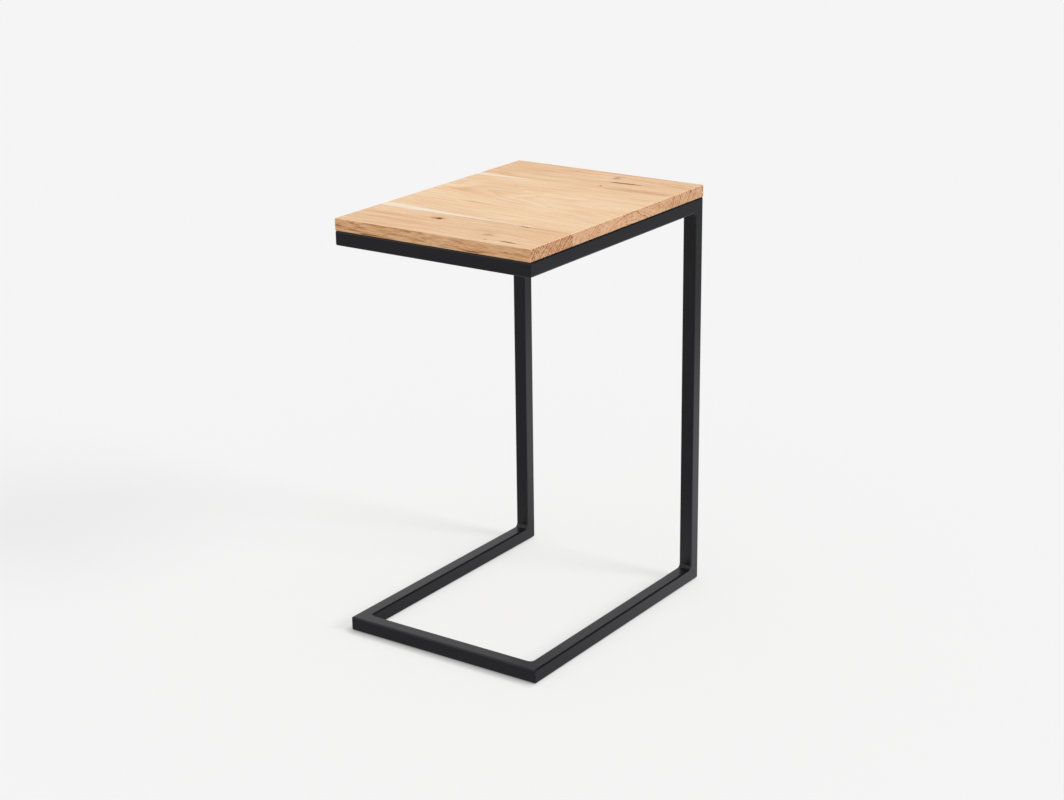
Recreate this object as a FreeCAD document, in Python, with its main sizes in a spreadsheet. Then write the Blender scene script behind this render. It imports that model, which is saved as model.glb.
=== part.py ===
"""C shaped side table: a welded frame of square steel tube under a top of three glued boards.

Axes: +X to the right along the grain of the boards, +Y to the rear where the legs stand, +Z up.
Origin: on the floor, under the middle of the table. Lengths are in millimetres.
"""
import FreeCAD
import Part
import Sketcher
import math
import os

# Driving dimensions: name, value, meaning
SIZES = [
    ("width", "308", "left to right, along the boards"),
    ("depth", "418", "front to rear"),
    ("height", "585", "floor to the upper face of the top"),
    ("tube_side", "20", "side of the square tube"),
    ("tube_wall", "1.5", "wall of the tube"),
    ("tube_corner", "2.5", "outer corner radius of the tube"),
    ("tube_bore_corner", "1", "inner corner radius of the tube"),
    ("top_thickness", "16.5", "thickness of the boards"),
    ("front_board_width", "93", "front edge to the first glue line"),
    ("rear_board_width", "95", "second glue line to the rear edge"),
    ("board_ease", "1", "rounding of the outer edges of the top"),
    ("weld_leg", "5", "leg length of a fillet weld"),
    ("weld_crown", "0.5", "bulge of a weld above its flat face"),
    ("glide_height", "1", "height of a glide below the base"),
    ("glide_radius", "7", "radius of a glide's foot"),
    ("glide_ease", "0.3", "chamfer of a glide's floor edge"),
    ("glide_stem_radius", "3", "radius of a glide's stem"),
    ("glide_barb_lip", "0.5", "how far a glide's barb stands out past its stem"),
    ("glide_barb_height", "3", "height of a glide's barb"),
    ("glide_inset", "36", "end of the base to the middle of a glide"),
    ("tab_length", "36", "length of a fixing tab along its rail"),
    ("tab_reach", "22", "how far a fixing tab stands in from its rail"),
    ("tab_thickness", "3", "thickness of a fixing tab"),
    ("tab_corner", "4", "rounding of a tab's free corners"),
    ("tab_drop", "1", "gap from a tab up to the top, which the screw draws against"),
    ("tab_slot_travel", "6", "how far a screw can travel in its slot"),
    ("tab_inset", "58", "front or rear of the table to the middle of a tab"),
    ("tab_weld_leg", "2.5", "leg length of the weld under a tab"),
    ("washer_radius", "5", "outer radius of a washer"),
    ("washer_thickness", "1", "thickness of a washer"),
    ("screw_radius", "2.1", "radius over a screw's thread"),
    ("screw_core_radius", "1.5", "radius of a screw's core"),
    ("screw_pitch", "1.6", "distance from one thread ridge to the next"),
    ("screw_point", "3", "length of a screw's point"),
    ("screw_cover", "5.5", "wood left above a screw's point"),
    ("screw_head_radius", "4", "radius of a screw's head"),
    ("screw_head_height", "2.6", "height of a screw's head"),
    ("screw_head_rim", "0.8", "straight rim of a screw's head"),
    ("recess_span", "4.2", "length of a slot of the cross recess"),
    ("recess_width", "1", "width of a slot of the cross recess"),
    ("recess_depth", "1.4", "depth of the cross recess"),
    ("hole_clearance", "0.1", "radial clearance of stems and screws in their holes"),
    ("pilot_spare", "1", "depth of a pilot hole past the screw's point"),
    ("overrun", "1", "how far a cutting shape runs past what it cuts"),
]

doc = FreeCAD.newDocument("c_side_table")
sheet = doc.addObject("Spreadsheet::Sheet", "Sizes")
for row, (name, value, meaning) in enumerate(SIZES, start=1):
    sheet.set(f"A{row}", name)
    sheet.set(f"B{row}", value)
    sheet.setAlias(f"B{row}", name)
    sheet.set(f"C{row}", meaning)
doc.recompute()

names = {name: f"Sizes.{name}" for name, _, _ in SIZES}


def sized(text):
    """An expression in plain size names, written as the document's expressions name them."""
    return text.format(**names)


def value_of(text):
    """The present value of an expression."""
    return float(sheet.evalExpression(sized(text)))


# Places and sizes that several pieces share
RIGHT = "({width} / 2)"
REAR = "({depth} / 2)"
BASE_TOP = "({glide_height} + {tube_side})"
FRAME_TOP = "({height} - {top_thickness})"
FRAME_UNDER = "({height} - {top_thickness} - {tube_side})"
TUBE_MIDDLE = "({tube_side} / 2)"
TUBE_FLAT = "({tube_side} - 2 * {tube_corner})"
TAB_X = "({width} / 2 - {tube_side} - {tab_reach} / 2)"
TAB_Y = "({depth} / 2 - {tab_inset})"
TAB_UNDER = "({height} - {top_thickness} - {tab_drop} - {tab_thickness})"
TAB_WELD_LENGTH = "({tab_length} - 2 * {tab_weld_leg})"
SCREW_LENGTH = "({washer_thickness} + {tab_thickness} + {tab_drop} + {top_thickness} - {screw_cover})"
HOLE_RADIUS = "({screw_radius} + {hole_clearance})"
GLIDE_HOLE_RADIUS = "({glide_stem_radius} + {hole_clearance})"

AXES = {
    "+x": FreeCAD.Vector(1, 0, 0),
    "-x": FreeCAD.Vector(-1, 0, 0),
    "+y": FreeCAD.Vector(0, 1, 0),
    "-y": FreeCAD.Vector(0, -1, 0),
    "+z": FreeCAD.Vector(0, 0, 1),
    "-z": FreeCAD.Vector(0, 0, -1),
}
SIDES = {"left": "-", "right": "+"}
ENDS = {"front": "-", "rear": "+"}
sub_parts = []


# Document helpers
def new_body(label):
    body = doc.addObject("PartDesign::Body", label)
    body.Label = label
    return body


def place(body, x, y, z, along_x="+x", along_y="+y"):
    """Puts a body's own X and Y axes along two axes of the table, with its origin at x, y, z."""
    x_axis = AXES[along_x]
    y_axis = AXES[along_y]
    rotation = FreeCAD.Rotation(x_axis, y_axis, x_axis.cross(y_axis), "ZXY")
    body.Placement = FreeCAD.Placement(FreeCAD.Vector(), rotation)
    for axis, text in (("x", x), ("y", y), ("z", z)):
        body.setExpression(f"Placement.Base.{axis}", sized(text))
    sub_parts.append(body)


def origin_feature(body, role):
    return next(item for item in body.Origin.OriginFeatures if item.Role == role)


def new_sketch(body, name, plane, offset=None):
    sketch = body.newObject("Sketcher::SketchObject", name)
    sketch.AttachmentSupport = [(origin_feature(body, plane), "")]
    sketch.MapMode = "FlatFace"
    if offset:
        sketch.setExpression("AttachmentOffset.Base.z", sized(offset))
    return sketch


def hold(sketch, kind, geometry, text):
    """Adds a dimension and binds it to an expression."""
    index = sketch.addConstraint(Sketcher.Constraint(kind, *geometry, value_of(text)))
    sketch.setExpression(f"Constraints[{index}]", sized(text))


def hold_point(sketch, element, point, x, y):
    """Holds a point of a sketch at x, y, on the axes where either is zero."""
    for kind, axis, text in (("DistanceX", -2, x), ("DistanceY", -1, y)):
        if text == "0":
            sketch.addConstraint(Sketcher.Constraint("PointOnObject", element, point, axis))
        else:
            hold(sketch, kind, (-1, 1, element, point), text)


def add_outline(sketch, corners):
    """A closed outline of straight edges through corners given as pairs of expressions."""
    points = [FreeCAD.Vector(value_of(x), value_of(y), 0) for x, y in corners]
    first = sketch.GeometryCount
    count = len(points)
    for i, point in enumerate(points):
        sketch.addGeometry(Part.LineSegment(point, points[(i + 1) % count]))
    for i, (x, y) in enumerate(corners):
        sketch.addConstraint(Sketcher.Constraint("Coincident", first + i, 2, first + (i + 1) % count, 1))
        hold_point(sketch, first + i, 1, x, y)


def add_circle(sketch, x, y, radius):
    centre = FreeCAD.Vector(value_of(x), value_of(y), 0)
    circle = sketch.addGeometry(Part.Circle(centre, AXES["+z"], value_of(radius)))
    hold_point(sketch, circle, 3, x, y)
    hold(sketch, "Radius", (circle,), radius)


def add_arc_between(sketch, centre, radius, start, end):
    circle = Part.Circle(FreeCAD.Vector(*centre, 0), AXES["+z"], radius)
    sketch.addGeometry(Part.ArcOfCircle(circle, start, end))


def add_rounded_square(sketch, side, corner):
    """A square about the sketch's origin whose four corners share one radius."""
    half = value_of(side) / 2
    radius = value_of(corner)
    flat = half - radius
    quarter = math.pi / 2
    first = sketch.GeometryCount
    flats = [((-flat, -half), (flat, -half)), ((half, -flat), (half, flat)),
             ((flat, half), (-flat, half)), ((-half, flat), (-half, -flat))]
    for start, end in flats:
        sketch.addGeometry(Part.LineSegment(FreeCAD.Vector(*start, 0), FreeCAD.Vector(*end, 0)))
    centres = [(flat, -flat), (flat, flat), (-flat, flat), (-flat, -flat)]
    for i, centre in enumerate(centres):
        add_arc_between(sketch, centre, radius, (i - 1) * quarter, i * quarter)
    for i in range(4):
        line = first + i
        arc = first + 4 + i
        sketch.addConstraint(Sketcher.Constraint("Tangent", line, 2, arc, 1))
        sketch.addConstraint(Sketcher.Constraint("Tangent", arc, 2, first + (i + 1) % 4, 1))
        sketch.addConstraint(Sketcher.Constraint("Vertical" if i % 2 else "Horizontal", line))
        if i:
            sketch.addConstraint(Sketcher.Constraint("Equal", first + 4, arc))
    sketch.addConstraint(Sketcher.Constraint("Symmetric", first + 4, 3, first + 6, 3, -1, 1))
    hold(sketch, "Radius", (first + 4,), corner)
    hold(sketch, "DistanceX", (first + 3, 1, first + 1, 1), side)
    hold(sketch, "DistanceY", (first, 1, first + 2, 1), side)


def add_pad(body, name, sketch, length):
    pad = body.newObject("PartDesign::Pad", name)
    pad.Profile = sketch
    pad.setExpression("Length", sized(length))
    doc.recompute()


def add_pocket(body, name, sketch, length=None, back=False, both_ways=False):
    """Cuts a sketch into a body, to a depth or right through, and proves that it cut."""
    before = body.Shape.Volume
    pocket = body.newObject("PartDesign::Pocket", name)
    pocket.Profile = sketch
    pocket.Reversed = back
    if both_ways:
        pocket.SideType = "Symmetric"
    if length:
        pocket.setExpression("Length", sized(length))
    else:
        pocket.Type = "ThroughAll"
    doc.recompute()
    if not body.Shape.Volume < before:
        raise ValueError(f"{name} cuts nothing from {body.Label}")


def add_turned(body, name, corners):
    """Turns an outline, given as radius and height, about the body's Z axis."""
    sketch = new_sketch(body, f"{name}_outline", "XZ_Plane")
    add_outline(sketch, corners)
    turned = body.newObject("PartDesign::Revolution", name)
    turned.Profile = sketch
    turned.ReferenceAxis = (origin_feature(body, "Z_Axis"), [""])
    doc.recompute()


def add_fillet(body, name, planes, radius):
    """Rounds each edge that lies on two of the planes, which are given as an axis and an expression."""
    base = body.Tip
    levels = [(axis, value_of(text)) for axis, text in planes]
    edges = []
    for number, edge in enumerate(base.Shape.Edges, start=1):
        offsets = [max(abs(getattr(vertex.Point, axis) - level) for vertex in edge.Vertexes)
                   for axis, level in levels]
        if sum(offset < Part.Precision.confusion() for offset in offsets) > 1:
            edges.append(f"Edge{number}")
    fillet = body.newObject("PartDesign::Fillet", name)
    fillet.Base = (base, edges)
    fillet.setExpression("Radius", sized(radius))
    doc.recompute()


# Square tube
def cut_mitre(body, name, inner, start=None):
    """Cuts an end of a tube at 45 degrees, so that it is shortest on its inner side.

    The near end is at zero; start gives the length of the tube for a mitre at its far end.
    """
    sign = inner[0]
    opposite = {"+": "-", "-": "+"}[sign]
    end = start or "0"
    outward = "+" if start else "-"
    inward = "-" if start else "+"
    plane = {"x": "XZ_Plane", "y": "YZ_Plane"}[inner[1]]
    outside = f"{opposite}({{tube_side}} / 2 + {{overrun}})"
    inside = f"{sign}({{tube_side}} / 2 + {{overrun}})"
    sketch = new_sketch(body, f"{name}_outline", plane)
    add_outline(sketch, [
        (outside, f"{end} {outward} {{overrun}}"),
        (inside, f"{end} {outward} {{overrun}}"),
        (inside, f"{end} {inward} ({{tube_side}} + {{overrun}})"),
    ])
    add_pocket(body, name, sketch, both_ways=True)


def make_tube(label, length, near_inner=None, far_inner=None):
    """A length of square tube along its own Z axis, mitred at either end."""
    body = new_body(label)
    profile = new_sketch(body, "section", "XY_Plane")
    add_rounded_square(profile, "{tube_side}", "{tube_corner}")
    add_rounded_square(profile, "{tube_side} - 2 * {tube_wall}", "{tube_bore_corner}")
    add_pad(body, "tube", profile, length)
    if near_inner:
        cut_mitre(body, "near_mitre", near_inner)
    if far_inner:
        cut_mitre(body, "far_mitre", far_inner, length)
    return body


def drill_glide_holes(body, under):
    """Drills the wall of a runner that faces the floor, near both ends."""
    sketch = new_sketch(body, "glide_hole_outline", "YZ_Plane")
    for y in ("{glide_inset}", "{depth} - {glide_inset}"):
        add_circle(sketch, "0", y, GLIDE_HOLE_RADIUS)
    add_pocket(body, "glide_holes", sketch, back=under == "+x")


def make_frame():
    front_y = f"{TUBE_MIDDLE} - {REAR}"
    rear_y = f"{REAR} - {TUBE_MIDDLE}"
    base_z = f"{BASE_TOP} - {TUBE_MIDDLE}"
    rail_z = f"{FRAME_TOP} - {TUBE_MIDDLE}"

    for label, z in (("top_front_rail", rail_z), ("base_front_rail", base_z)):
        rail = make_tube(label, "{width}", "+y", "+y")
        place(rail, f"-{RIGHT}", front_y, z, "-z", "+y")

    rear_rail = make_tube("top_rear_rail", "{width} - 2 * {tube_side}")
    place(rear_rail, f"{{tube_side}} - {RIGHT}", rear_y, rail_z, "-z", "+y")

    for side, sign in SIDES.items():
        middle_x = f"{sign}({RIGHT} - {TUBE_MIDDLE})"
        inward = "-x" if side == "right" else "+x"
        # A side tube's own X axis points up on the left and down on the right
        own_x = "-z" if side == "right" else "+z"
        up = "-x" if side == "right" else "+x"
        down = "+x" if side == "right" else "-x"

        leg = make_tube(f"{side}_leg", f"{FRAME_TOP} - {{glide_height}}", "+y", "+y")
        place(leg, middle_x, rear_y, "{glide_height}", "-x", "-y")

        rail = make_tube(f"top_{side}_rail", "{depth}", "+y", down)
        place(rail, middle_x, f"-{REAR}", rail_z, own_x, inward)

        runner = make_tube(f"base_{side}_runner", "{depth}", "+y", up)
        drill_glide_holes(runner, down)
        place(runner, middle_x, f"-{REAR}", base_z, own_x, inward)


# Weld beads in the inside corners of the frame
def make_bead(label, leg, length):
    """A fillet weld along its own Z axis, with its two legs along X and Y and a bulging face."""
    body = new_body(label)
    sketch = new_sketch(body, "section", "XY_Plane")
    reach = value_of(leg)
    crown = value_of("{weld_crown}")
    corner = FreeCAD.Vector()
    on_x = FreeCAD.Vector(reach, 0, 0)
    on_y = FreeCAD.Vector(0, reach, 0)
    outward = FreeCAD.Vector(1, 1, 0).normalize()
    crest = (on_x + on_y) / 2 + outward * crown
    sketch.addGeometry(Part.LineSegment(corner, on_x))
    sketch.addGeometry(Part.LineSegment(on_y, corner))
    sketch.addGeometry(Part.Arc(on_x, crest, on_y))
    sketch.addConstraint(Sketcher.Constraint("Coincident", 0, 1, -1, 1))
    sketch.addConstraint(Sketcher.Constraint("Coincident", 1, 2, -1, 1))
    sketch.addConstraint(Sketcher.Constraint("Coincident", 0, 2, 2, 1))
    sketch.addConstraint(Sketcher.Constraint("Coincident", 1, 1, 2, 2))
    sketch.addConstraint(Sketcher.Constraint("Horizontal", 0))
    sketch.addConstraint(Sketcher.Constraint("Vertical", 1))
    hold(sketch, "DistanceX", (-1, 1, 0, 2), leg)
    hold(sketch, "DistanceY", (-1, 1, 1, 1), leg)
    hold(sketch, "Radius", (2,), f"{leg} ^ 2 / (4 * {{weld_crown}}) + {{weld_crown}} / 2")
    add_pad(body, "bead", sketch, length)
    return body


def make_frame_welds():
    front_y = f"{{tube_side}} - {REAR}"
    rear_y = f"{REAR} - {{tube_side}}"
    flat_start = f"{FRAME_UNDER} + {{tube_corner}}"
    for side, sign in SIDES.items():
        inner_x = f"{sign}({RIGHT} - {{tube_side}})"
        inward = "-x" if side == "right" else "+x"
        across_x = f"{sign}({RIGHT} - {TUBE_MIDDLE}) - {TUBE_FLAT} / 2"
        upright = ("+y", inward) if side == "right" else (inward, "+y")
        rear_upright = (inward, "-y") if side == "right" else ("-y", inward)
        under = ("-z", inward) if side == "right" else (inward, "-z")
        welds = [
            (f"{side}_heel_weld", across_x, rear_y, BASE_TOP, ("+z", "-y")),
            (f"{side}_shoulder_weld", across_x, rear_y, FRAME_UNDER, ("-y", "-z")),
            (f"base_{side}_corner_weld", inner_x, front_y, "{glide_height} + {tube_corner}", upright),
            (f"top_{side}_corner_weld", inner_x, front_y, flat_start, upright),
            (f"rear_rail_{side}_weld", inner_x, rear_y, flat_start, rear_upright),
            (f"rear_rail_{side}_under_weld", inner_x, f"{rear_y} + {{tube_corner}}", FRAME_UNDER, under),
        ]
        for label, x, y, z, axes in welds:
            bead = make_bead(label, "{weld_leg}", TUBE_FLAT)
            place(bead, x, y, z, *axes)


# Top
def make_board(label, board_width, front_y, outer_side=None):
    """A board of the top; one with an outer side has tabs under it, and pilot holes for their screws."""
    body = new_body(label)
    outline = new_sketch(body, "outline", "XY_Plane")
    add_outline(outline, [
        (f"-{RIGHT}", "0"),
        (RIGHT, "0"),
        (RIGHT, board_width),
        (f"-{RIGHT}", board_width),
    ])
    add_pad(body, "board", outline, "{top_thickness}")
    if outer_side:
        holes = new_sketch(body, "pilot_hole_outline", "XY_Plane")
        from_edge = "{tab_inset}" if outer_side == "front" else f"{board_width} - {{tab_inset}}"
        for sign in SIDES.values():
            add_circle(holes, f"{sign}{TAB_X}", from_edge, HOLE_RADIUS)
        depth = "{top_thickness} - {screw_cover} + {pilot_spare}"
        add_pocket(body, "pilot_holes", holes, depth, back=True)
    planes = [("x", RIGHT), ("x", f"-{RIGHT}"), ("z", "{top_thickness}"), ("z", "0")]
    if outer_side == "front":
        planes.append(("y", "0"))
    if outer_side == "rear":
        planes.append(("y", board_width))
    add_fillet(body, "eased_edges", planes, "{board_ease}")
    place(body, "0", front_y, FRAME_TOP)


def make_top():
    middle_width = "({depth} - {front_board_width} - {rear_board_width})"
    middle_y = f"{{front_board_width}} - {REAR}"
    rear_y = f"{REAR} - {{rear_board_width}}"
    make_board("front_board", "{front_board_width}", f"-{REAR}", "front")
    make_board("middle_board", middle_width, middle_y)
    make_board("rear_board", "{rear_board_width}", rear_y, "rear")


# Fixings that hold the top to the frame
def make_tab(label):
    """A flat tab with a slot across the grain, its welded edge at x zero and its free edge at tab_reach."""
    body = new_body(label)
    outline = new_sketch(body, "outline", "XY_Plane")
    add_outline(outline, [
        ("0", "-{tab_length} / 2"),
        ("{tab_reach}", "-{tab_length} / 2"),
        ("{tab_reach}", "{tab_length} / 2"),
        ("0", "{tab_length} / 2"),
    ])
    add_pad(body, "plate", outline, "{tab_thickness}")
    slot = new_sketch(body, "slot_outline", "XY_Plane")
    add_slot(slot)
    add_pocket(body, "slot", slot, back=True)
    planes = [("x", "{tab_reach}"), ("y", "{tab_length} / 2"), ("y", "-{tab_length} / 2")]
    add_fillet(body, "free_corners", planes, "{tab_corner}")
    return body


def add_slot(sketch):
    """A slot along Y in the middle of a tab's reach, as wide as a screw's hole."""
    middle = value_of("{tab_reach} / 2")
    half_travel = value_of("{tab_slot_travel} / 2")
    radius = value_of(HOLE_RADIUS)
    for x, start, end in ((radius, -half_travel, half_travel), (-radius, half_travel, -half_travel)):
        start_point = FreeCAD.Vector(middle + x, start, 0)
        end_point = FreeCAD.Vector(middle + x, end, 0)
        sketch.addGeometry(Part.LineSegment(start_point, end_point))
    add_arc_between(sketch, (middle, half_travel), radius, 0, math.pi)
    add_arc_between(sketch, (middle, -half_travel), radius, math.pi, 2 * math.pi)
    for line, arc in ((0, 2), (1, 3)):
        sketch.addConstraint(Sketcher.Constraint("Tangent", line, 2, arc, 1))
        sketch.addConstraint(Sketcher.Constraint("Tangent", arc, 2, 1 - line, 1))
        sketch.addConstraint(Sketcher.Constraint("Vertical", line))
    hold(sketch, "Radius", (2,), HOLE_RADIUS)
    hold_point(sketch, 2, 3, "{tab_reach} / 2", "{tab_slot_travel} / 2")
    hold(sketch, "DistanceY", (3, 3, 2, 3), "{tab_slot_travel}")


def make_washer(label):
    body = new_body(label)
    sketch = new_sketch(body, "section", "XY_Plane")
    add_circle(sketch, "0", "0", "{washer_radius}")
    add_circle(sketch, "0", "0", HOLE_RADIUS)
    add_pad(body, "ring", sketch, "{washer_thickness}")
    return body


def make_screw(label):
    """A pan-head screw that points up, with its head's seat at z zero and a cross recess below."""
    body = new_body(label)
    add_turned(body, "blank", [
        ("0", "-{screw_head_height}"),
        ("{screw_head_radius} - {screw_head_rim}", "-{screw_head_height}"),
        ("{screw_head_radius}", "-{screw_head_rim}"),
        ("{screw_head_radius}", "0"),
        ("{screw_radius}", "0"),
        ("{screw_radius}", f"{SCREW_LENGTH} - {{screw_point}}"),
        ("0", SCREW_LENGTH),
    ])
    recess = new_sketch(body, "recess_outline", "XY_Plane", "-{screw_head_height}")
    long_half = "{recess_span} / 2"
    short_half = "{recess_width} / 2"
    add_outline(recess, [
        (f"-{long_half}", f"-{short_half}"), (f"-{short_half}", f"-{short_half}"),
        (f"-{short_half}", f"-{long_half}"), (short_half, f"-{long_half}"),
        (short_half, f"-{short_half}"), (long_half, f"-{short_half}"),
        (long_half, short_half), (short_half, short_half),
        (short_half, long_half), (f"-{short_half}", long_half),
        (f"-{short_half}", short_half), (f"-{long_half}", short_half),
    ])
    add_pocket(body, "recess", recess, "{recess_depth}", back=True)
    cut_thread(body)
    return body


def cut_thread(body):
    """Grooves along the part of a screw that is in the wood, one pitch apart."""
    start = "({washer_thickness} + {tab_thickness} + {tab_drop})"
    half_pitch = "{screw_pitch} / 2"
    before = body.Shape.Volume
    sketch = new_sketch(body, "thread_outline", "XZ_Plane")
    add_outline(sketch, [
        ("{screw_core_radius}", f"{start} + {half_pitch}"),
        ("{screw_radius} + {overrun}", f"{start}"),
        ("{screw_radius} + {overrun}", f"{start} + {{screw_pitch}}"),
    ])
    groove = body.newObject("PartDesign::Groove", "thread_groove")
    groove.Profile = sketch
    groove.ReferenceAxis = (origin_feature(body, "Z_Axis"), [""])
    doc.recompute()
    if not body.Shape.Volume < before:
        raise ValueError(f"the thread cuts nothing from {body.Label}")
    thread = body.newObject("PartDesign::LinearPattern", "thread")
    thread.Originals = [groove]
    thread.Direction = (origin_feature(body, "Z_Axis"), [""])
    thread.Mode = "Spacing"
    thread.setExpression("Offset", sized("{screw_pitch}"))
    threaded = f"{SCREW_LENGTH} - {{screw_point}} - {start}"
    thread.setExpression("Occurrences", sized(f"floor(({threaded}) / {{screw_pitch}})"))
    body.Tip = thread


def make_group(label, members):
    group = doc.addObject("Part::Compound", label)
    group.Label = label
    group.Links = members
    for member in members:
        sub_parts.remove(member)
    sub_parts.append(group)


def make_fixings():
    screws = []
    washers = []
    washer_under = f"{TAB_UNDER} - {{washer_thickness}}"
    for side, sign in SIDES.items():
        rail_x = f"{sign}({RIGHT} - {{tube_side}})"
        screw_x = f"{sign}{TAB_X}"
        for end, end_sign in ENDS.items():
            y = f"{end_sign}{TAB_Y}"
            inward = ("-x", "-y") if side == "right" else ("+x", "+y")
            tab = make_tab(f"{end}_{side}_tab")
            place(tab, rail_x, y, TAB_UNDER, *inward)
            bead = make_bead(f"{end}_{side}_tab_weld", "{tab_weld_leg}", TAB_WELD_LENGTH)
            axes = ("-z", "-x") if side == "right" else ("+x", "-z")
            place(bead, rail_x, f"{y} - {TAB_WELD_LENGTH} / 2", TAB_UNDER, *axes)
            washer = make_washer(f"{end}_{side}_washer")
            place(washer, screw_x, y, washer_under)
            washers.append(washer)
            screw = make_screw(f"{end}_{side}_screw")
            place(screw, screw_x, y, washer_under)
            screws.append(screw)
    make_group("top_washers", washers)
    make_group("top_screws", screws)


# Glides under the base
def make_glide(label):
    """A turned glide: foot on the floor, stem through the tube's wall, barb that holds inside the tube."""
    body = new_body(label)
    barb_radius = "({glide_stem_radius} + {hole_clearance} + {glide_barb_lip})"
    barb_start = "({glide_height} + {tube_wall} + {hole_clearance})"
    add_turned(body, "glide", [
        ("0", "0"),
        ("{glide_radius} - {glide_ease}", "0"),
        ("{glide_radius}", "{glide_ease}"),
        ("{glide_radius}", "{glide_height}"),
        ("{glide_stem_radius}", "{glide_height}"),
        ("{glide_stem_radius}", barb_start),
        (barb_radius, barb_start),
        ("{glide_stem_radius} / 2", f"{barb_start} + {{glide_barb_height}}"),
        ("0", f"{barb_start} + {{glide_barb_height}}"),
    ])
    return body


def make_glides():
    for side, sign in SIDES.items():
        for end, end_sign in ENDS.items():
            glide = make_glide(f"{end}_{side}_glide")
            place(glide, f"{sign}({RIGHT} - {TUBE_MIDDLE})", f"{end_sign}({REAR} - {{glide_inset}})", "0")


def check_document():
    for item in doc.Objects:
        if "Invalid" in item.State or "Error" in item.State:
            raise ValueError(f"{item.Label} failed: {item.State}")
    for part in sub_parts:
        if part.Shape.isNull() or not part.Shape.isValid():
            raise ValueError(f"{part.Label} has no valid shape")


make_frame()
make_frame_welds()
make_top()
make_fixings()
make_glides()
doc.recompute()
check_document()

os.makedirs("parts", exist_ok=True)
for part in sub_parts:
    part.Shape.exportStep(f"parts/{part.Label}.step")
    print(part.Label, len(part.Shape.Solids), round(part.Shape.Volume))
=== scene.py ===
import math
import bmesh
import bpy
from mathutils import Matrix, Vector, noise


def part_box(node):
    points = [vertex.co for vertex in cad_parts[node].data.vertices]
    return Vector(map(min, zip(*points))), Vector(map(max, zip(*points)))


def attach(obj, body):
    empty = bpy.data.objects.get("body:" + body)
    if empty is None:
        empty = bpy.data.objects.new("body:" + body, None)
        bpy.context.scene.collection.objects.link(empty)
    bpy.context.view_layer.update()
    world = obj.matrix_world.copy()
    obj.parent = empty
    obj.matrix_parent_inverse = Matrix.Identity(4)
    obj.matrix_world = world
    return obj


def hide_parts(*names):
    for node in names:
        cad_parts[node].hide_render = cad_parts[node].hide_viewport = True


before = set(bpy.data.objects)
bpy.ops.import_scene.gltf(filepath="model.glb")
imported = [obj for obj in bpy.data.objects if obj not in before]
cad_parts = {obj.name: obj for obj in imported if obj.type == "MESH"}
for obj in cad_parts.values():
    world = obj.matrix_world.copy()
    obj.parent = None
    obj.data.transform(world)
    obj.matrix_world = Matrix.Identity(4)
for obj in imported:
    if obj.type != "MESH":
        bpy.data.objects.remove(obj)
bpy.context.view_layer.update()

# The table is in metres: +X right along the grain, +Y to the rear where the legs stand, +Z up
MM = 0.001
AXES = {"x": Vector((1, 0, 0)), "y": Vector((0, 1, 0)), "z": Vector((0, 0, 1))}

# Each side, with the direction that leads inwards from it
SIDES = {"left": "+x", "right": "-x"}


def direction(text):
    """The unit vector that a sign and an axis name, such as -y."""
    return AXES[text[1]] * (-1 if text[0] == "-" else 1)


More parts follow.
